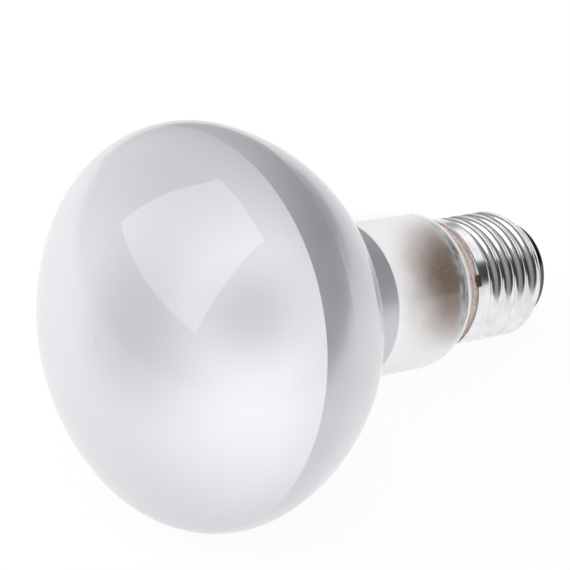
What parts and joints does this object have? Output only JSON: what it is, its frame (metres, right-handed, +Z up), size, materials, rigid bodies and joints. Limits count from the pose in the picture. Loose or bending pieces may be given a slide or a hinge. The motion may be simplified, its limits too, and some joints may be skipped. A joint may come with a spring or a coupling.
{
  "type": "incandescent reflector bulb",
  "caption": "Incandescent reflector bulb with a frosted face, mirrored back and frosted neck on a round-thread screw cap.",
  "frame": {"origin": "middle of the underside of the box round the bulb, as it lies on a table", "axes": "+X along the table from the cap's contact to the face, +Y across, +Z up from the table; the bulb's own axis lies in the XZ plane and leans up by 18.22 degrees towards the face"},
  "size_m": [0.1138, 0.08, 0.0775],
  "materials": {
    "bulb_glass": "frosted inside on the face and neck, mirror layer inside the back, glossy outside",
    "nickel_plate": "bright nickel plating",
    "basing_cement": "matt brown cement",
    "black_glass": "glossy black glass",
    "contact_brass": "pressed brass",
    "solder": "dull tin solder",
    "lead_wire": "bare copper wire"
  },
  "bodies": {
    "root": {"glass_bulb": "bulb_glass", "cap_shell": "nickel_plate", "cap_cement": "basing_cement", "cap_insulator": "black_glass", "centre_contact": "contact_brass", "centre_solder": "solder", "centre_lead": "lead_wire", "side_lead": "lead_wire", "side_solder": "solder"}
  },
  "joints": []
}
